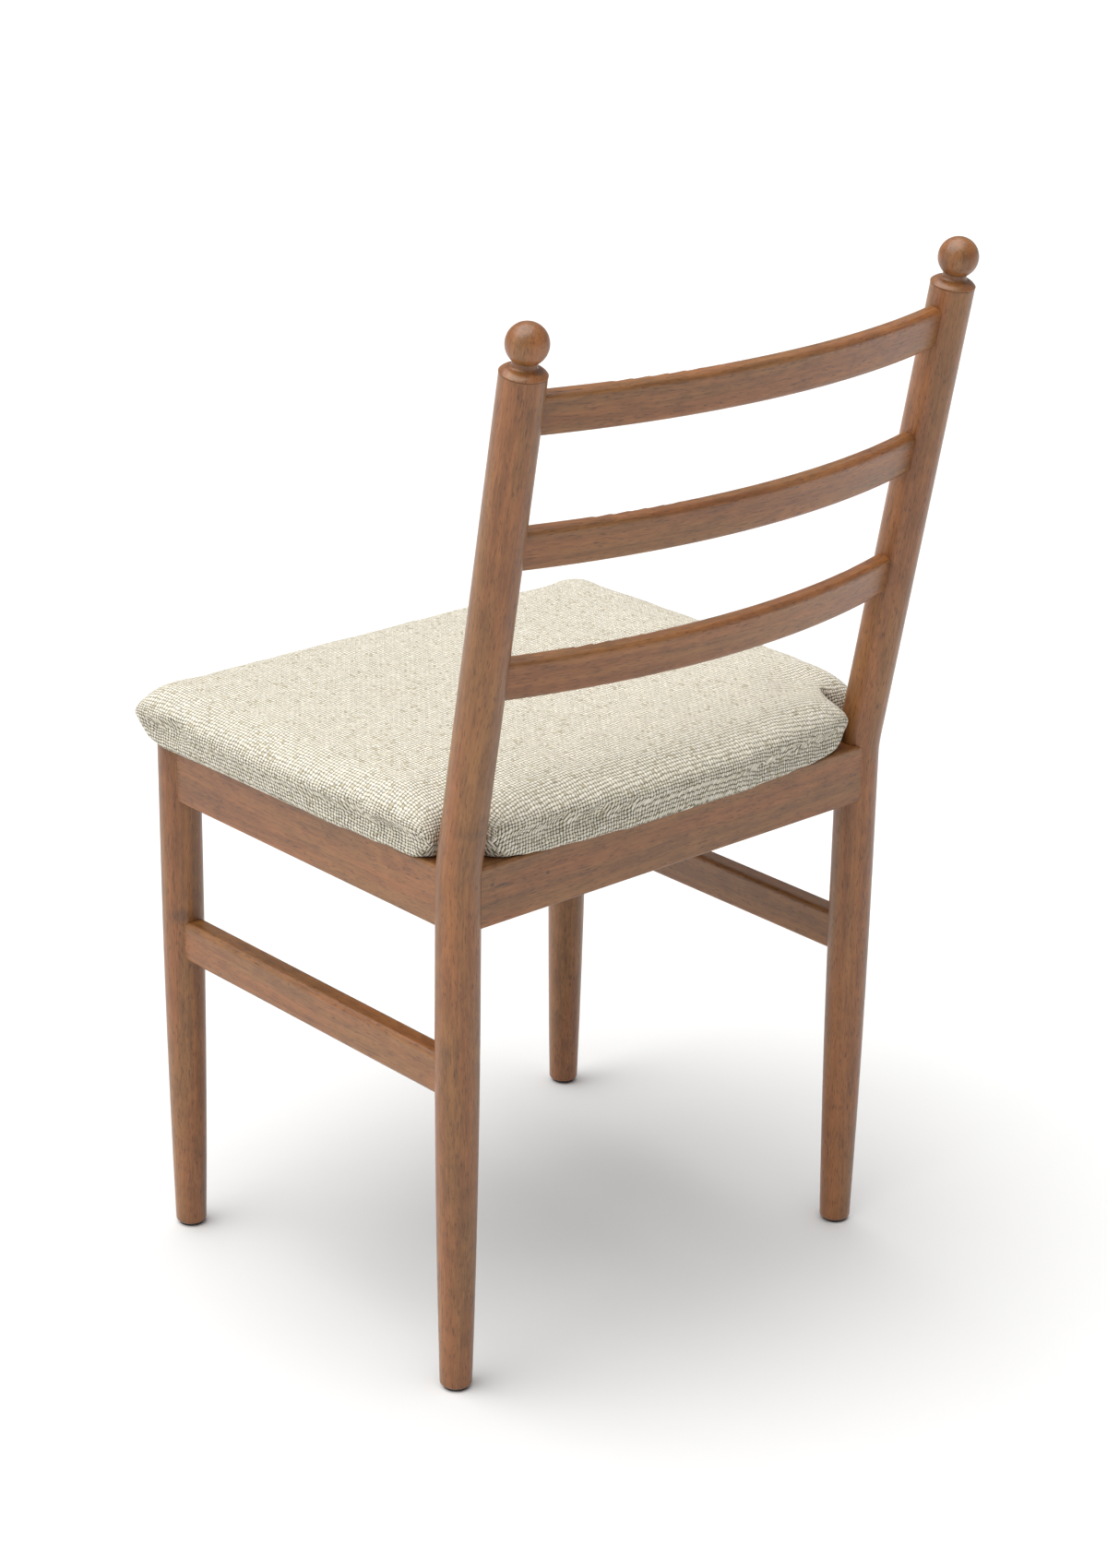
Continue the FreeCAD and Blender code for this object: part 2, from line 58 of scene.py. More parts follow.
SATIN_GLOSS = (0.34, 0.46)
LACQUER = 0.22
LACQUER_GLOSS = 0.28
WANDER_CELL = (0.03, 0.25)
WANDER_REACH = 0.02
BAND_CELL = (0.012, 0.24)
STREAK_CELL = (0.0030, 0.07)
FIBRE_CELL = (0.0010, 0.016)
FIGURE_CELL = (0.013, 0.018)
VESSEL_CELL = (0.0008, 0.007)
HUE_CELL = (0.017, 0.16)
TONE_LIMITS = (0.32, 0.68)
HUE_LIMITS = (0.38, 0.62)
PORE_LIMITS = (0.57, 0.70)
PORE_DEPTH = 0.8
GRAIN_RELIEF = 0.0004
MARK_COLOUR = (0.045, 0.024, 0.014, 1)
MARK_EDGE = (1.15, 0.35)
MARK_BLUR = 0.9


def placed(tree, kind, inputs=None, **settings):
    """A node of a tree, with its settings and with values or links for its inputs."""
    made = tree.nodes.new(kind)
    for name, value in settings.items():
        setattr(made, name, value)
    for place, value in (inputs or {}).items():
        if isinstance(value, bpy.types.NodeSocket):
            tree.links.new(value, made.inputs[place])
        else:
            made.inputs[place].default_value = value
    return made


def add(tree, kind, inputs=None, **settings):
    """A shader or value node."""
    return placed(tree, "ShaderNode" + kind, inputs, **settings)


def maths(tree, operation, *values):
    return add(tree, "Math", dict(enumerate(values)), operation=operation).outputs[0]


def vectors(tree, operation, *values):
    return add(tree, "VectorMath", dict(enumerate(values)), operation=operation).outputs[0]


def ramp(tree, value, low, high, start=0.0, end=1.0):
    """Smooth step of a value between two limits."""
    limits = {"Value": value, "From Min": low, "From Max": high, "To Min": start, "To Max": end}
    return add(tree, "MapRange", limits, interpolation_type="SMOOTHSTEP").outputs[0]


def tint(tree, share, first, second, mode="MIX"):
    """Two colours mixed by a share."""
    inputs = {0: share, 6: first, 7: second}
    return add(tree, "Mix", inputs, data_type="RGBA", blend_type=mode).outputs[2]


def speckle(tree, spot, scale, detail=2.0):
    """Even noise of the given scale."""
    return add(tree, "TexNoise", {"Vector": spot, "Scale": scale, "Detail": detail}).outputs["Fac"]


def streaks(tree, grain, cell, detail=2.0):
    """Noise drawn out along the grain. The cell is its size across and along, in metres."""
    across, along = cell
    return speckle(tree, vectors(tree, "MULTIPLY", grain, (1 / across, 1 / across, 1 / along)), 1.0, detail)


def new_material(name):
    """A material, its node tree and its surface shader."""
    made = bpy.data.materials.new(name)
    made.use_nodes = True
    return made, made.node_tree, made.node_tree.nodes["Principled BSDF"]


def relieve(tree, shader, height, strength, depth):
    """Gives a surface its fine relief from a height."""
    relief = add(tree, "Bump", {"Height": height, "Strength": strength, "Distance": depth})
    tree.links.new(relief.outputs[0], shader.inputs["Normal"])


def wood_group(name, dark, light, warm, cool, pore):
    """Colour, gloss and height of a planed wood from a place whose Z runs along the grain."""
    tree = bpy.data.node_groups.new(name, "ShaderNodeTree")
    tree.interface.new_socket("Grain", in_out="INPUT", socket_type="NodeSocketVector")
    for output, kind in (("Colour", "Color"), ("Gloss", "Float"), ("Height", "Float")):
        tree.interface.new_socket(output, in_out="OUTPUT", socket_type="NodeSocket" + kind)
    grain = tree.nodes.new("NodeGroupInput").outputs["Grain"]
    wander = streaks(tree, grain, WANDER_CELL, 1.0)
    wander = maths(tree, "MULTIPLY", maths(tree, "SUBTRACT", wander, 0.5), WANDER_REACH)
    shifted = vectors(tree, "ADD", grain, add(tree, "CombineXYZ", {0: wander, 1: wander}).outputs[0])
    band = streaks(tree, shifted, BAND_CELL)
    streak = streaks(tree, shifted, STREAK_CELL, 3.0)
    fibre = streaks(tree, shifted, FIBRE_CELL)
    figure = streaks(tree, shifted, FIGURE_CELL)
    vessel = streaks(tree, shifted, VESSEL_CELL, 1.0)
    tone = maths(tree, "MULTIPLY", band, 0.28)
    for layer, share in ((streak, 0.27), (fibre, 0.25), (figure, 0.20)):
        tone = maths(tree, "MULTIPLY_ADD", layer, share, tone)
    colour = tint(tree, ramp(tree, tone, *TONE_LIMITS), dark, light)
    hue = ramp(tree, streaks(tree, grain, HUE_CELL, 1.0), *HUE_LIMITS)
    colour = tint(tree, 1.0, colour, tint(tree, hue, warm, cool), "MULTIPLY")
    pores = ramp(tree, vessel, *PORE_LIMITS, 0.0, PORE_DEPTH)
    colour = tint(tree, pores, colour, tint(tree, 1.0, colour, pore, "MULTIPLY"))
    gloss = maths(tree, "MULTIPLY_ADD", streak, SATIN_GLOSS[1] - SATIN_GLOSS[0], SATIN_GLOSS[0])
    height = maths(tree, "MULTIPLY_ADD", pores, -1.2, fibre)
    height = maths(tree, "MULTIPLY_ADD", streak, 0.6, height)
    out = tree.nodes.new("NodeGroupOutput")
    for output, value in (("Colour", colour), ("Gloss", gloss), ("Height", height)):
        tree.links.new(value, out.inputs[output])
    return tree


def grain_place(tree, lengthwise, shift, leaning=False, bow_radius=None):
    """Place on the piece with Z along its grain, following the lean of a post or the bow of a slat."""
    spot = add(tree, "TexCoord").outputs["Object"]
    parts = add(tree, "SeparateXYZ", {0: spot}).outputs
    x, y, z = parts[0], parts[1], parts[2]
    if leaning:
        above = maths(tree, "MAXIMUM", maths(tree, "SUBTRACT", z, BEND_HEIGHT), 0.0)
        y = maths(tree, "MULTIPLY_ADD", above, -RAKE_SLOPE, y)
    if bow_radius:
        y = maths(tree, "MULTIPLY_ADD", maths(tree, "MULTIPLY", x, x), 0.5 / bow_radius, y)
        above = maths(tree, "SUBTRACT", z, BEND_HEIGHT)
        y = maths(tree, "MULTIPLY_ADD", above, -RAKE_SLOPE, y)
    order = {"z": (x, y, z), "x": (y, z, x), "y": (x, z, y)}[lengthwise]
    place = add(tree, "CombineXYZ", dict(enumerate(order))).outputs[0]
    return vectors(tree, "ADD", place, (0.37 * shift, 0.53 * shift, 0.71 * shift))


def marked(tree, colour, marks):
    """Colour with small knots and stain marks at the given places, each with its reach and depth."""
    spot = add(tree, "TexCoord").outputs["Object"]
    blur = speckle(tree, spot, 700.0)
    for place, reach, depth in marks:
        away = vectors(tree, "DIVIDE", vectors(tree, "SUBTRACT", spot, place), reach)
        away = add(tree, "VectorMath", {0: away}, operation="LENGTH").outputs["Value"]
        away = maths(tree, "MULTIPLY_ADD", maths(tree, "SUBTRACT", blur, 0.5), MARK_BLUR, away)
        colour = tint(tree, ramp(tree, away, *MARK_EDGE, 0.0, depth), colour, MARK_COLOUR)
    return colour


def wood(name, group, grain_of, marks=(), bump=0.22, lacquer=LACQUER):
    """Material of one wooden piece. grain_of gives its place along the grain in the material's tree."""
    made, tree, shader = new_material(name)
    grain = tree.nodes.new("ShaderNodeGroup")
    grain.node_tree = group
    tree.links.new(grain_of(tree), grain.inputs["Grain"])
    colour = marked(tree, grain.outputs["Colour"], marks) if marks else grain.outputs["Colour"]
    tree.links.new(colour, shader.inputs["Base Color"])
    tree.links.new(grain.outputs["Gloss"], shader.inputs["Roughness"])
    if lacquer:
        shader.inputs["Coat Weight"].default_value = lacquer
        shader.inputs["Coat Roughness"].default_value = LACQUER_GLOSS
    relieve(tree, shader, grain.outputs["Height"], bump, GRAIN_RELIEF)
    return made


def dress(node, material):
    """Gives a CAD node its material."""
    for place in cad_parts[node].material_slots:
        place.material = material


stained = wood_group("stained_hardwood", STAIN_DARK_AND_SHADE, STAIN_LIGHT, STAIN_WARM, STAIN_COOL, STAIN_PORE)
LEG_MARKS = {
    "back_leg_left": [
        ((0.214, 0.152, 0.4650), (0.016, 0.016, 0.0045), 0.22),
        ((0.226, 0.142, 0.2870), (0.0035, 0.010, 0.013), 0.30),
    ],
    "front_leg_left": [((0.221, -0.199, 0.2860), (0.010, 0.008, 0.008), 0.45)],
    "front_leg_right": [((-0.203, -0.197, 0.1080), (0.002, 0.006, 0.003), 0.50)],
    "back_leg_right": [],
}
for shift, (node, marks) in enumerate(LEG_MARKS.items(), start=1):
    leans = node.startswith("back")
    dress(node, wood(node, stained, lambda tree: grain_place(tree, "z", shift, leaning=leans), marks))


# Finials
# Each ball, its neck and its rounded shoulder are turned in one piece from the same hardwood
# and glued into the top of the post with a round peg. Painted shade darkens the neck.
FINIAL_JOINT = {"left": (0.21275, 0.20266, 0.81295), "right": (-0.21275, 0.20266, 0.81295)}
FINIAL_LEAN = {"left": (0.00961, 0.17751, 0.98407), "right": (-0.00961, 0.17751, 0.98407)}
FINIAL_NECK = 0.0083
NECK_SHADE_REACH = 0.0038
NECK_SHADE_DEPTH = 0.55
JOINT_REACH = 0.0012
JOINT_DEPTH = 0.6
for shift, side in enumerate(("left", "right"), start=7):
    finish = wood("finial_" + side, stained, lambda tree: grain_place(tree, "z", shift, leaning=True))
    tree = finish.node_tree
    shader = tree.nodes["Principled BSDF"]
    plain = shader.inputs["Base Color"].links[0].from_socket
    away = vectors(tree, "SUBTRACT", add(tree, "TexCoord").outputs["Object"], FINIAL_JOINT[side])
    level = add(tree, "VectorMath", {0: away, 1: FINIAL_LEAN[side]}, operation="DOT_PRODUCT")
    level = level.outputs["Value"]
    # The neck is darkened towards the dark stain colour as painted shade; the ring at the joint with the
    # post is a dark joint line
    from_neck = maths(tree, "ABSOLUTE", maths(tree, "SUBTRACT", level, FINIAL_NECK))
    from_joint = maths(tree, "ABSOLUTE", level)
    neck_shade = ramp(tree, from_neck, NECK_SHADE_REACH, 0.0, 0.0, NECK_SHADE_DEPTH)
    at_joint = ramp(tree, from_joint, JOINT_REACH, 0.0, 0.0, JOINT_DEPTH)
    ring = maths(tree, "MAXIMUM", neck_shade, at_joint)
    tree.links.new(tint(tree, ring, plain, STAIN_DARK_AND_SHADE), shader.inputs["Base Color"])
    dress("finial_" + side, finish)


# Slats
# Three thin strips of the same hardwood, bent to one curve and tenoned into the posts. Their
# long edges are well rounded over.
SLAT_BOW_RADIUS = 0.66
for shift, node in enumerate(("slat_top", "slat_middle", "slat_bottom"), start=11):
    dress(node, wood(node, stained, lambda tree: grain_place(tree, "x", shift, bow_radius=SLAT_BOW_RADIUS)))


# Seat rails
# Four straight bars under the seat with eased edges, tenoned into the legs. The rear one has
# a small bark streak and a pin knot near its left end.
RAIL_MARKS = {
    "back_rail": [
        ((0.1886, 0.1469, 0.4172), (0.0026, 0.006, 0.0016), 0.85),
        ((0.1788, 0.1469, 0.4146), (0.0080, 0.006, 0.0011), 0.80),
        ((0.1342, 0.1469, 0.4123), (0.0022, 0.006, 0.0017), 0.75),
        ((0.1500, 0.1469, 0.4120), (0.0300, 0.006, 0.0030), 0.22),
    ],
    "front_rail": [],
    "side_rail_left": [],
    "side_rail_right": [],
}
for shift, (node, marks) in enumerate(RAIL_MARKS.items(), start=17):
    way = "y" if node.startswith("side") else "x"
    dress(node, wood(node, stained, lambda tree: grain_place(tree, way, shift), marks))


# Side stretchers
# Two flat bars with well rounded edges between the front and back legs, of the same stained
# hardwood, tenoned at both ends.
for shift, node in enumerate(("side_stretcher_left", "side_stretcher_right"), start=23):
    dress(node, wood(node, stained, lambda tree: grain_place(tree, "y", shift)))


# Corner blocks
# Triangular braces of raw, unstained hardwood, glued and screwed into the corners of the
# rails. They are sawn, so they have a matt face.
CORNERS = ("back_left", "back_right", "front_left", "front_right")
RAW_DARK = (0.42, 0.27, 0.15, 1)
RAW_LIGHT = (0.66, 0.48, 0.30, 1)
RAW_WARM = (1.04, 0.98, 0.94, 1)
RAW_COOL = (0.97, 1.00, 0.98, 1)
RAW_PORE = (0.62, 0.55, 0.48, 1)
raw = wood_group("raw_hardwood", RAW_DARK, RAW_LIGHT, RAW_WARM, RAW_COOL, RAW_PORE)
for shift, corner in enumerate(CORNERS, start=31):
    node = "corner_block_" + corner
    finish = wood(node, raw, lambda tree: grain_place(tree, "x", shift), bump=0.5, lacquer=0.0)
    dress(node, finish)


# Wood screws
# Zinc plated cross recess screws: eight through the corner blocks into the rails and four up
# into the seat board.
ZINC = (0.62, 0.56, 0.43, 1)
ZINC_DULL = (0.40, 0.36, 0.29, 1)
ZINC_SCRATCHES = (900, 900, 5200)
zinc, tree, shader = new_material("zinc_plate")
spot = add(tree, "TexCoord").outputs["Object"]
cloud = speckle(tree, spot, 420.0, 4.0)
scratch = speckle(tree, vectors(tree, "MULTIPLY", spot, ZINC_SCRATCHES), 1.0)
shader.inputs["Metallic"].default_value = 1.0
tree.links.new(tint(tree, ramp(tree, cloud, 0.4, 0.6), ZINC_DULL, ZINC), shader.inputs["Base Color"])
tree.links.new(ramp(tree, cloud, 0.3, 0.7, 0.28, 0.5), shader.inputs["Roughness"])
relieve(tree, shader, scratch, 0.15, 0.0001)
for node in ("corner_block_screws", "seat_screws"):
    dress(node, zinc)


# Foot glides
# Round dark brown plastic feet, each with a moulded rim, nailed into the sole of a leg. They
# are scuffed where they slide.
GLIDE_DARK = (0.030, 0.022, 0.018, 1)
GLIDE_SCUFFED = (0.085, 0.070, 0.060, 1)
GLIDE_SCRATCHES = (260, 2600, 400)
plastic, tree, shader = new_material("glide_plastic")
spot = add(tree, "TexCoord").outputs["Object"]
mottle = speckle(tree, spot, 900.0, 3.0)
scuff = speckle(tree, vectors(tree, "MULTIPLY", spot, GLIDE_SCRATCHES), 1.0)
colour = tint(tree, ramp(tree, scuff, 0.56, 0.7), GLIDE_DARK, GLIDE_SCUFFED)
tree.links.new(colour, shader.inputs["Base Color"])
tree.links.new(ramp(tree, mottle, 0.3, 0.7, 0.42, 0.62), shader.inputs["Roughness"])
relieve(tree, shader, mottle, 0.2, 0.0002)
for corner in CORNERS:
    dress("foot_glide_" + corner, plastic)


# Seat board
# A plywood board, cut to the seat's outline and wrapped by the foam and the cover. Its veneers
# alternate in direction, so the sawn edge shows light and dark layers.
PLY_THICK = 0.0015
ply = wood("seat_board", raw, lambda tree: grain_place(tree, "x", 41), bump=0.5, lacquer=0.0)
tree = ply.node_tree
shader = tree.nodes["Principled BSDF"]
face = shader.inputs["Base Color"].links[0].from_socket
level = add(tree, "SeparateXYZ", {0: add(tree, "TexCoord").outputs["Object"]}).outputs[2]
layer = maths(tree, "PINGPONG", maths(tree, "DIVIDE", level, PLY_THICK), 1.0)
cross_ply = ramp(tree, layer, 0.4, 0.6, 0.0, 0.45)
tree.links.new(tint(tree, cross_ply, face, RAW_DARK), shader.inputs["Base Color"])
dress("seat_board", ply)


# Seat cushion
# A soft foam pad over the board in a chunky cream cloth, woven of thick looped yarns. The
# cloth is pulled down over the edges and stapled under the board, so its sides draw in.
SEAT_UNDERSIDE = 0.432
VOXEL = 0.005
GROW = 0.0012
SWELL_LIMIT = 0.004
DRAW_LIMIT = 0.0008
PAD_PRESSURE = 4.0
SWELL_FRAMES = 20
HEM_TOP = 0.453
HEM_DROOP = {1: 0.0055, -1: 0.0035}
HEM_REACH = 0.075
HEM_TUCK = 0.004
HEM_EASE = 0.005
HEM_SIDE_MIDDLE = -0.055
HEM_SIDE_SPAN = 0.30
HEM_REAR_SPAN = 0.34
HELD_REACH = 0.4 * VOXEL
LOOSE_ABOVE = 0.001
DENTS = ((28, 0.0009), (75, 0.0004))
WARP_PITCH = 0.0025
WEFT_PITCH = 0.0031
YARN_CREAM = (0.95, 0.89, 0.77, 1)
YARN_WARM = (0.88, 0.81, 0.65, 1)
YARN_SPECK = (0.60, 0.53, 0.39, 1)
# Painted shade colour for the gaps between the yarns
YARN_GAP_SHADE = (0.135, 0.122, 0.080, 1)
YARN_WANDER = (0.0026, 0.0026, 0.0)
YARN_HALF_WIDTH = (0.42, 0.54)
YARN_HALF_LENGTH = (0.52, 0.68)
UNDER_DROP = 0.42
WEAVE_RELIEF = 0.0016
SHOULDER_HEIGHT = 0.466
UNDERSIDE_FACING = -0.7


def link(name, mesh):
    made = bpy.data.objects.new(name, mesh)
    bpy.context.scene.collection.objects.link(made)
    return made


def middle(node):
    """The middle of a CAD node's box, seen from above."""
    low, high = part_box(node)
    return ((low + high) / 2).xy


def plain_mesh(piece):
    """The piece's mesh with its modifiers applied."""
    bpy.context.view_layer.update()
    seen = piece.evaluated_get(bpy.context.evaluated_depsgraph_get())
    mesh = bpy.data.meshes.new_from_object(seen)
    piece.modifiers.clear()
    return mesh


form = bmesh.new()
for node in ("seat_cover", "seat_foam", "seat_board"):
    form.from_mesh(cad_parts[node].data)
bmesh.ops.remove_doubles(form, verts=form.verts, dist=0.00002)
cushion_mesh = bpy.data.meshes.new("seat_cushion")
form.to_mesh(cushion_mesh)
form.free()
cushion_mesh.materials.clear()
cushion = link("seat_cushion", cushion_mesh)
remesh = cushion.modifiers.new("even", "REMESH")
remesh.mode = "VOXEL"
remesh.voxel_size = VOXEL
cushion.data = plain_mesh(cushion)
held = cushion.vertex_groups.new(name="held")
for vertex in cushion.data.vertices:
    if vertex.co.z < SEAT_UNDERSIDE + HELD_REACH:
        vertex.co.z = SEAT_UNDERSIDE
        held.add([vertex.index], 1.0, "REPLACE")
    else:
        vertex.co += vertex.normal * GROW
        vertex.co.z = max(vertex.co.z, SEAT_UNDERSIDE)
start = [(vertex.co.copy(), vertex.normal.copy()) for vertex in cushion.data.vertices]
scene = bpy.context.scene
scene.frame_start, scene.frame_end = 1, SWELL_FRAMES
cloth = cushion.modifiers.new("swell", "CLOTH")
cloth.settings.quality = 4
cloth.settings.mass = 0.3
cloth.settings.tension_stiffness = 12
cloth.settings.compression_stiffness = 12
cloth.settings.bending_stiffness = 1.5
cloth.settings.use_pressure = True
cloth.settings.uniform_pressure_force = PAD_PRESSURE
cloth.settings.effector_weights.gravity = 0.0
cloth.settings.vertex_group_mass = held.name
cloth.collision_settings.use_collision = False
cloth.point_cache.frame_start, cloth.point_cache.frame_end = 1, SWELL_FRAMES
for step in range(1, SWELL_FRAMES + 1):
    scene.frame_set(step)
cushion.data = plain_mesh(cushion)
scene.frame_set(1)
for vertex, (before, outward) in zip(cushion.data.vertices, start):
    moved = vertex.co - before
    moved -= outward * min(0.0, moved.dot(outward) + DRAW_LIMIT)
    if moved.length > SWELL_LIMIT:
        vertex.co = before + moved * (SWELL_LIMIT / moved.length)
    vertex.co.z = max(vertex.co.z, SEAT_UNDERSIDE)
cushion.vertex_groups.clear()

soft = bmesh.new()
soft.from_mesh(cushion.data)
loose = [vertex for vertex in soft.verts if vertex.co.z > SEAT_UNDERSIDE + LOOSE_ABOVE]
for _ in range(2):
    bmesh.ops.smooth_vert(soft, verts=loose, factor=0.5, use_axis_x=True, use_axis_y=True, use_axis_z=True)
soft.normal_update()
for vertex in loose:
    dent = sum(noise.noise(vertex.co * scale) * depth for scale, depth in DENTS)
    vertex.co += vertex.normal * dent

# The hem hangs a little over the rails beside the posts and is drawn in between them
rail_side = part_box("side_rail_left")[1].x
rail_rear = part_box("back_rail")[1].y
post = middle("foot_glide_back_left")
for vertex in soft.verts:
    spot = vertex.co
    past_side = abs(spot.x) - rail_side
    past_rear = spot.y - rail_rear
    past = max(past_side, past_rear)
    if past <= 0 or spot.z > HEM_TOP:
        continue
    depth = (HEM_TOP - spot.z) / (HEM_TOP - SEAT_UNDERSIDE)
    share = depth * depth * (3 - 2 * depth) * min(1.0, past / HEM_EASE)
    reach = min(1.0, math.dist((abs(spot.x), spot.y), post) / HEM_REACH)
    near = (1 - reach) ** 2 * (1 + 2 * reach)
    side = 1 if spot.x > 0 else -1
    spot.z -= HEM_DROOP[side] * near * share
    if past_side > past_rear:
        along = max(0.0, math.cos(math.pi * (spot.y - HEM_SIDE_MIDDLE) / HEM_SIDE_SPAN))
        spot.x -= side * HEM_TUCK * along * share
    else:
        along = max(0.0, math.cos(math.pi * spot.x / HEM_REAR_SPAN))
        spot.y -= HEM_TUCK * along * share
weave = soft.loops.layers.uv.new("weave")
for face in soft.faces:
    face.smooth = True
    facing = face.normal
    sideways = abs(facing.x) > abs(facing.y)
    for loop in face.loops:
        spot = loop.vert.co
        fall = max(0.0, SHOULDER_HEIGHT - spot.z) if facing.z > UNDERSIDE_FACING else 0.0
        u = spot.x + (math.copysign(fall, facing.x) if sideways else 0.0)
        v = spot.y + (0.0 if sideways else math.copysign(fall, facing.y))
        loop[weave].uv = (u, v)
soft.to_mesh(cushion.data)
soft.free()
finer = cushion.modifiers.new("finer", "SUBSURF")
finer.levels = finer.render_levels = 1
cushion.data = plain_mesh(cushion)

cloth_finish, tree, shader = new_material("seat_fabric")
flat = add(tree, "UVMap", uv_map="weave").outputs[0]
slack = add(tree, "TexNoise", {"Vector": flat, "Scale": 150.0, "Detail": 2.0}).outputs["Color"]
slack = vectors(tree, "MULTIPLY", vectors(tree, "SUBTRACT", slack, (0.5, 0.5, 0.5)), YARN_WANDER)
yarns = vectors(tree, "DIVIDE", vectors(tree, "ADD", flat, slack), (WARP_PITCH, WEFT_PITCH, 1.0))
cell = vectors(tree, "FLOOR", yarns)
inside = vectors(tree, "SUBTRACT", vectors(tree, "FRACTION", yarns), (0.5, 0.5, 0.0))
chance = add(tree, "TexWhiteNoise", {"Vector": cell}, noise_dimensions="2D")
odds = chance.outputs["Value"]
spread = add(tree, "SeparateColor", {0: chance.outputs["Color"]}).outputs
cells = add(tree, "SeparateXYZ", {0: cell}).outputs
over = maths(tree, "PINGPONG", maths(tree, "ADD", cells[0], cells[1]), 1.0)
sides = add(tree, "SeparateXYZ", {0: inside}).outputs
width = add(tree, "Mix", {0: over, 2: sides[0], 3: sides[1]}).outputs[0]
length = add(tree, "Mix", {0: over, 2: sides[1], 3: sides[0]}).outputs[0]
width = maths(tree, "DIVIDE", width, ramp(tree, spread[0], 0.0, 1.0, *YARN_HALF_WIDTH))
length = maths(tree, "DIVIDE", length, ramp(tree, spread[1], 0.0, 1.0, *YARN_HALF_LENGTH))
bulge = maths(tree, "ADD", maths(tree, "MULTIPLY", width, width), maths(tree, "MULTIPLY", length, length))
bulge = maths(tree, "SQRT", maths(tree, "MAXIMUM", maths(tree, "SUBTRACT", 1.0, bulge), 0.0))
bulge = maths(tree, "MULTIPLY", bulge, maths(tree, "MULTIPLY_ADD", over, -UNDER_DROP, 1.0))
fuzz = speckle(tree, flat, 1500.0, 3.0)
yarn = tint(tree, spread[2], YARN_CREAM, YARN_WARM)
yarn = tint(tree, ramp(tree, odds, 0.93, 0.975), yarn, YARN_SPECK)
# Low spots of the fuzz are darkened towards the painted shade colour of the gaps
yarn = tint(tree, ramp(tree, fuzz, 0.3, 0.62, 0.28, 0.0), yarn, YARN_GAP_SHADE)
# Painted shade between the yarns, deepest between the domes and weaker on faces turned upward than on the
# sides
upward = add(tree, "SeparateXYZ", {0: add(tree, "TexCoord").outputs["Normal"]}).outputs[2]
gap_shade_by_facing = ramp(tree, upward, 0.95, 0.2, 0.7, 1.0)
gap_shade = maths(tree, "MULTIPLY", ramp(tree, bulge, 0.68, 0.02), gap_shade_by_facing)
tree.links.new(tint(tree, gap_shade, yarn, YARN_GAP_SHADE), shader.inputs["Base Color"])
shader.inputs["Roughness"].default_value = 0.95
shader.inputs["Sheen Weight"].default_value = 0.12
shader.inputs["Sheen Roughness"].default_value = 0.5
shader.inputs["Specular IOR Level"].default_value = 0.15
height = maths(tree, "MULTIPLY_ADD", fuzz, 0.35, bulge)
relieve(tree, shader, height, 1.0, WEAVE_RELIEF)
cushion.data.materials.append(cloth_finish)
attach(cushion, "root")
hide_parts("seat_cover", "seat_foam")
dress("seat_foam", cloth_finish)
dress("seat_cover", cloth_finish)


# Dust cover
# A thin black non-woven cloth that closes the underside of the seat between the rails. It is
# stapled to the board along its edge and hangs a little slack between the staples.
DUST_LOW, DUST_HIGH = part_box("dust_cover")
DUST_HALF_WIDTH = DUST_HIGH.x
DUST_BACK = DUST_HIGH.y
DUST_FRONT = DUST_LOW.y
DUST_LEVEL = 0.4317
DUST_THICK = 0.0004
DUST_SAG = 0.0042
DUST_CELLS = (66, 54)
LEG_CLEAR = 0.0205
LEG_PLACES = [middle("foot_glide_" + corner) for corner in CORNERS]
DUST_BLACK = (0.020, 0.020, 0.022, 1)
DUST_GREY = (0.050, 0.050, 0.054, 1)
DUST_HAIRS = (900, 2600, 900)

sheet = bmesh.new()
columns, rows = DUST_CELLS
grid = []
for row in range(rows + 1):
    for column in range(columns + 1):
        across = column / columns
        along = row / rows
        spot = Vector((
            DUST_HALF_WIDTH * (2 * across - 1),
            DUST_FRONT + (DUST_BACK - DUST_FRONT) * along,
            DUST_LEVEL,
        ))
        for leg in LEG_PLACES:
            away = spot.xy - leg
            if away.length < LEG_CLEAR:
                spot.xy = leg + away.normalized() * LEG_CLEAR
        rim = min(across, 1 - across, along, 1 - along) * 2
        belly = min(1.0, rim * 2.2) ** 0.8
        fold = noise.noise(Vector((spot.x * 14, spot.y * 14, 3.1))) * 0.0011
        spot.z -= belly * (DUST_SAG * (0.8 + 0.2 * math.sin(math.pi * across)) + fold)
        grid.append(sheet.verts.new(spot))
for row in range(rows):
    for column in range(columns):
        first = row * (columns + 1) + column
        corners = (first, first + 1, first + columns + 2, first + columns + 1)
        sheet.faces.new([grid[index] for index in corners]).smooth = True
dust_mesh = bpy.data.meshes.new("dust_sheet")
sheet.to_mesh(dust_mesh)
sheet.free()
dust = link("dust_sheet", dust_mesh)
wall = dust.modifiers.new("wall", "SOLIDIFY")
wall.thickness = DUST_THICK
wall.offset = 0.0
dust.data = plain_mesh(dust)
felt, tree, shader = new_material("dust_cloth")
spot = add(tree, "TexCoord").outputs["Object"]
hair = speckle(tree, vectors(tree, "MULTIPLY", spot, DUST_HAIRS), 1.0, 4.0)
dots = add(tree, "TexVoronoi", {"Vector": spot, "Scale": 620.0, "Randomness": 0.12}).outputs["Distance"]
tree.links.new(tint(tree, ramp(tree, hair, 0.42, 0.62), DUST_BLACK, DUST_GREY), shader.inputs["Base Color"])
shader.inputs["Roughness"].default_value = 0.88
shader.inputs["Sheen Weight"].default_value = 0.1
relieve(tree, shader, maths(tree, "ADD", ramp(tree, dots, 0.1, 0.5), hair), 0.4, 0.0003)
dust.data.materials.append(felt)
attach(dust, "root")
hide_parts("dust_cover")


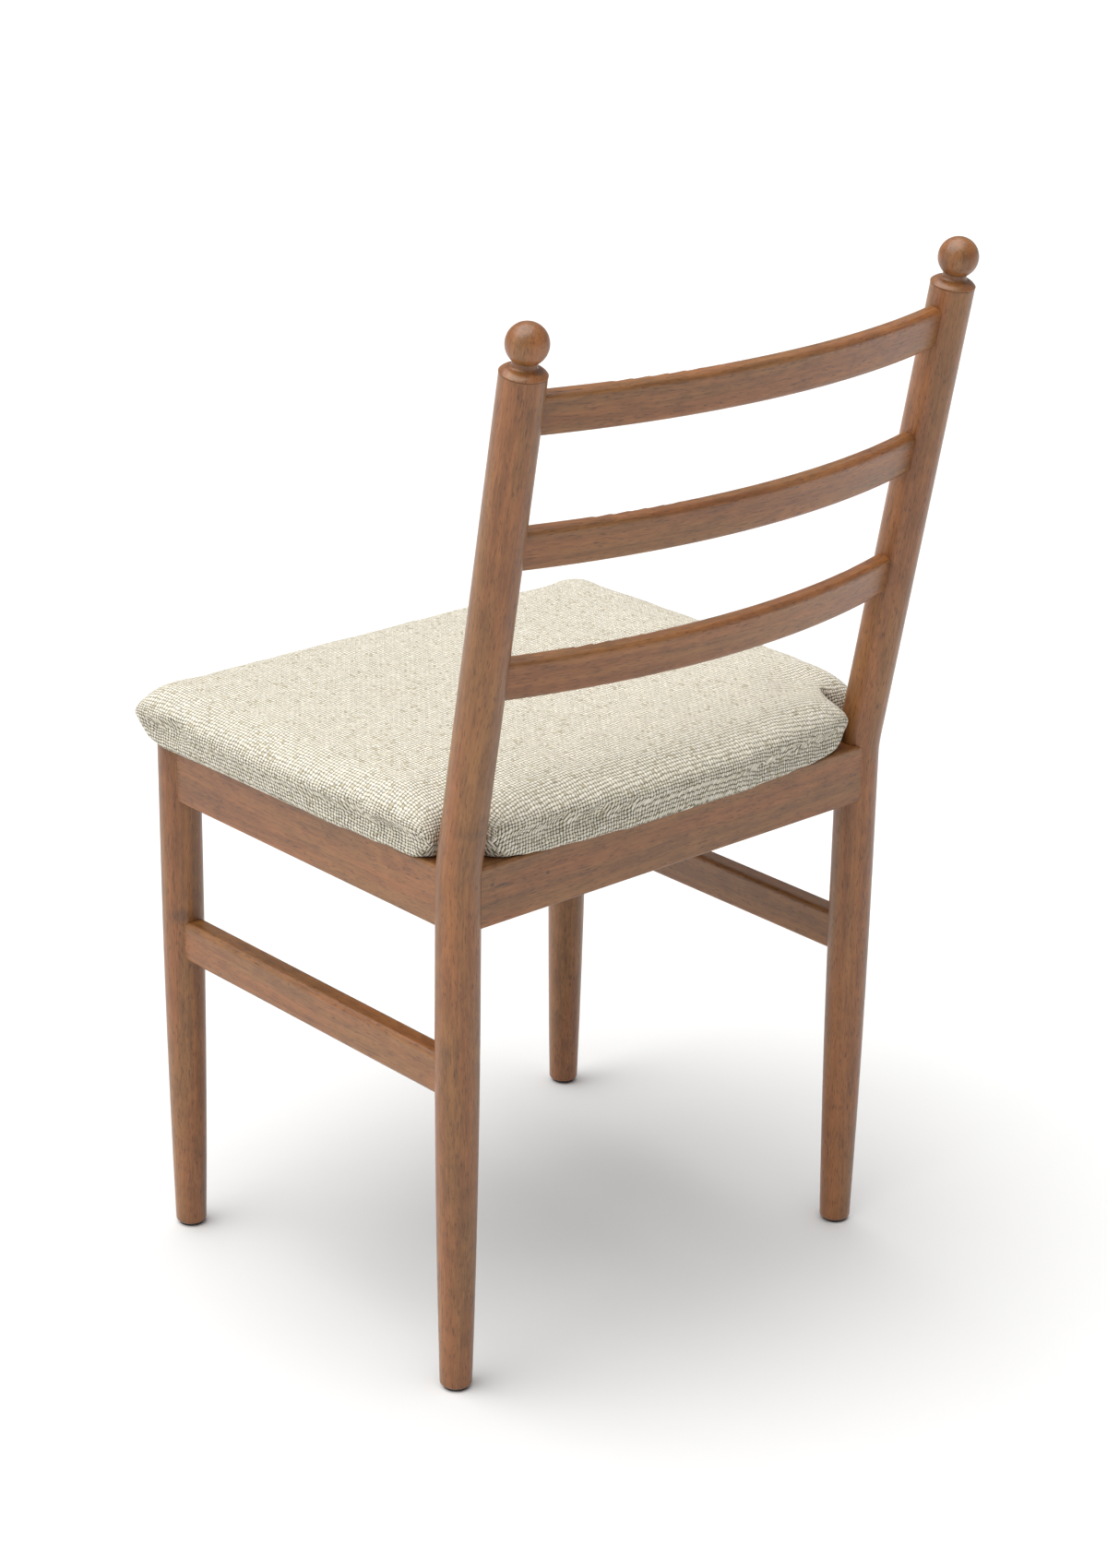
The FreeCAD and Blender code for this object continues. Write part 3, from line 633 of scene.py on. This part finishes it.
# Staples
# Wire staples along the edge of the dust cover, shot through the cloth into the board.
STAPLE_INSET = 0.007
STAPLE_SPACING = 0.042
STAPLE_CROWN = 0.0102
STAPLE_WIRE = 0.0009
STAPLE_LEG = 0.006
STAPLE_SEED = 5
STAPLE_SKEW = 0.22
CORNER_CUT = 0.016
STAPLE_STEEL = (0.50, 0.50, 0.51, 1)

steel, tree, shader = new_material("staple_wire")
spot = add(tree, "TexCoord").outputs["Object"]
drawn = speckle(tree, spot, 1400.0)
shader.inputs["Metallic"].default_value = 1.0
tree.links.new(tint(tree, drawn, STAPLE_STEEL, ZINC_DULL), shader.inputs["Base Color"])
tree.links.new(ramp(tree, drawn, 0.3, 0.7, 0.25, 0.45), shader.inputs["Roughness"])

staples = bpy.data.node_groups.new("staples_along_edge", "GeometryNodeTree")
STAPLE_INPUTS = {
    "Edge": "NodeSocketGeometry",
    "Spacing": "NodeSocketFloat",
    "Crown": "NodeSocketFloat",
    "Wire": "NodeSocketFloat",
    "Leg": "NodeSocketFloat",
    "Seed": "NodeSocketInt",
    "Finish": "NodeSocketMaterial",
}
for name, kind in STAPLE_INPUTS.items():
    staples.interface.new_socket(name, in_out="INPUT", socket_type=kind)
staples.interface.new_socket("Staples", in_out="OUTPUT", socket_type="NodeSocketGeometry")


def geo(kind, inputs=None, **settings):
    """A node of the staples' tree."""
    return placed(staples, kind, inputs, **settings)


sizes = geo("NodeGroupInput").outputs
wire = sizes["Wire"]
crown_size = add(staples, "CombineXYZ", {0: sizes["Crown"], 1: wire, 2: wire}).outputs[0]
crown = geo("GeometryNodeMeshCube", {"Size": crown_size})
leg_size = add(staples, "CombineXYZ", {0: wire, 1: wire, 2: sizes["Leg"]}).outputs[0]
leg = geo("GeometryNodeMeshCube", {"Size": leg_size})
half_leg = maths(staples, "MULTIPLY", sizes["Leg"], 0.5)
half_crown = maths(staples, "MULTIPLY", maths(staples, "SUBTRACT", sizes["Crown"], wire), 0.5)
bent = geo("GeometryNodeJoinGeometry")
staples.links.new(crown.outputs["Mesh"], bent.inputs[0])
for way in (-1.0, 1.0):
    reach = maths(staples, "MULTIPLY", half_crown, way)
    place = add(staples, "CombineXYZ", {0: reach, 2: half_leg}).outputs[0]
    moved = geo("GeometryNodeTransform", {"Geometry": leg.outputs["Mesh"], "Translation": place})
    staples.links.new(moved.outputs[0], bent.inputs[0])
path = geo("GeometryNodeMeshToCurve", {"Mesh": sizes["Edge"]}).outputs[0]
points = geo("GeometryNodeCurveToPoints", {"Curve": path, "Length": sizes["Spacing"]}, mode="LENGTH")
turn = geo("FunctionNodeAlignRotationToVector", {"Vector": points.outputs["Tangent"]}, axis="X").outputs[0]
limits = {0: (0.0, 0.0, -STAPLE_SKEW), 1: (0.0, 0.0, STAPLE_SKEW), "Seed": sizes["Seed"]}
skew = geo("FunctionNodeRandomValue", limits, data_type="FLOAT_VECTOR").outputs[0]
turn = geo("FunctionNodeRotateRotation", {"Rotation": turn, "Rotate By": skew}, rotation_space="LOCAL")
settled = {"Points": points.outputs["Points"], "Instance": bent.outputs[0], "Rotation": turn.outputs[0]}
copies = geo("GeometryNodeInstanceOnPoints", settled)
solid = geo("GeometryNodeRealizeInstances", {"Geometry": copies.outputs[0]})
finished = geo("GeometryNodeSetMaterial", {"Geometry": solid.outputs[0], "Material": sizes["Finish"]})
staples.links.new(finished.outputs[0], geo("NodeGroupOutput").inputs[0])

edge_x = DUST_HALF_WIDTH - STAPLE_INSET
edge_back = DUST_BACK - STAPLE_INSET
edge_front = DUST_FRONT + STAPLE_INSET
ring = []
for x, y, turned in (
    (edge_x, edge_back, False),
    (-edge_x, edge_back, True),
    (-edge_x, edge_front, False),
    (edge_x, edge_front, True),
):
    ends = [(x, y - math.copysign(CORNER_CUT, y)), (x - math.copysign(CORNER_CUT, x), y)]
    ring += ends[::-1] if turned else ends
staple_level = DUST_LEVEL - DUST_THICK - STAPLE_WIRE / 2
line = bpy.data.meshes.new("dust_staples")
spots = [(x, y, staple_level) for x, y in ring]
edges = [(index, (index + 1) % len(ring)) for index in range(len(ring))]
line.from_pydata(spots, edges, [])
row = link("dust_staples", line)
rule = row.modifiers.new("staples", "NODES")
rule.node_group = staples
values = {
    "Spacing": STAPLE_SPACING,
    "Crown": STAPLE_CROWN,
    "Wire": STAPLE_WIRE,
    "Leg": STAPLE_LEG,
    "Seed": STAPLE_SEED,
    "Finish": steel,
}
for item in staples.interface.items_tree:
    if item.item_type == "SOCKET" and item.in_out == "INPUT" and item.name in values:
        rule[item.identifier] = values[item.name]
row.data = plain_mesh(row)
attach(row, "root")


# Floor, light and camera
# A plain pale floor, a broad soft light from above with a weak one from the side, and a camera
# behind the chair on its left.
FLOOR_SIZE = 60.0
FLOOR_COLOUR = (0.72, 0.72, 0.715, 1)
SKY_STRENGTH = 0.37
LIGHTS = (("overhead", 3.85, 75, 14, 60), ("side", 0.7, 60, 62, 70))
CAMERA_PLACE = Vector((1.69348, 1.88692, 1.39402))
CAMERA_RIGHT = Vector((-0.74378, 0.66842, 0.0))
CAMERA_BACK = Vector((0.62269, 0.69289, 0.36352))
CAMERA_ROLL = math.radians(0.8875)
CAMERA_LENS = 78.92

ground = bmesh.new()
bmesh.ops.create_grid(ground, x_segments=1, y_segments=1, size=FLOOR_SIZE / 2)
floor_mesh = bpy.data.meshes.new("floor")
ground.to_mesh(floor_mesh)
ground.free()
floor = link("floor", floor_mesh)
pale, tree, shader = new_material("pale_floor")
shader.inputs["Base Color"].default_value = FLOOR_COLOUR
shader.inputs["Roughness"].default_value = 0.9
floor.data.materials.append(pale)

sky = bpy.data.worlds.new("studio")
sky.use_nodes = True
sky.node_tree.nodes["Background"].inputs["Color"].default_value = (1.0, 1.0, 1.0, 1)
sky.node_tree.nodes["Background"].inputs["Strength"].default_value = SKY_STRENGTH
bpy.context.scene.world = sky
for name, strength, spread, tilt, heading in LIGHTS:
    lamp = bpy.data.lights.new(name, "SUN")
    lamp.energy = strength
    lamp.angle = math.radians(spread)
    holder = bpy.data.objects.new(name, lamp)
    holder.rotation_euler = (math.radians(tilt), 0.0, math.radians(heading))
    bpy.context.scene.collection.objects.link(holder)

upward = CAMERA_BACK.cross(CAMERA_RIGHT)
across = CAMERA_RIGHT * math.cos(CAMERA_ROLL) + upward * math.sin(CAMERA_ROLL)
upright = upward * math.cos(CAMERA_ROLL) - CAMERA_RIGHT * math.sin(CAMERA_ROLL)
lens = bpy.data.cameras.new("photo_view")
lens.lens = CAMERA_LENS
lens.sensor_width = 36.0
camera = bpy.data.objects.new("photo_view", lens)
camera.matrix_world = Matrix((across, upright, CAMERA_BACK)).transposed().to_4x4()
camera.location = CAMERA_PLACE
bpy.context.scene.collection.objects.link(camera)
bpy.context.scene.camera = camera
bpy.context.scene.view_settings.view_transform = "Standard"
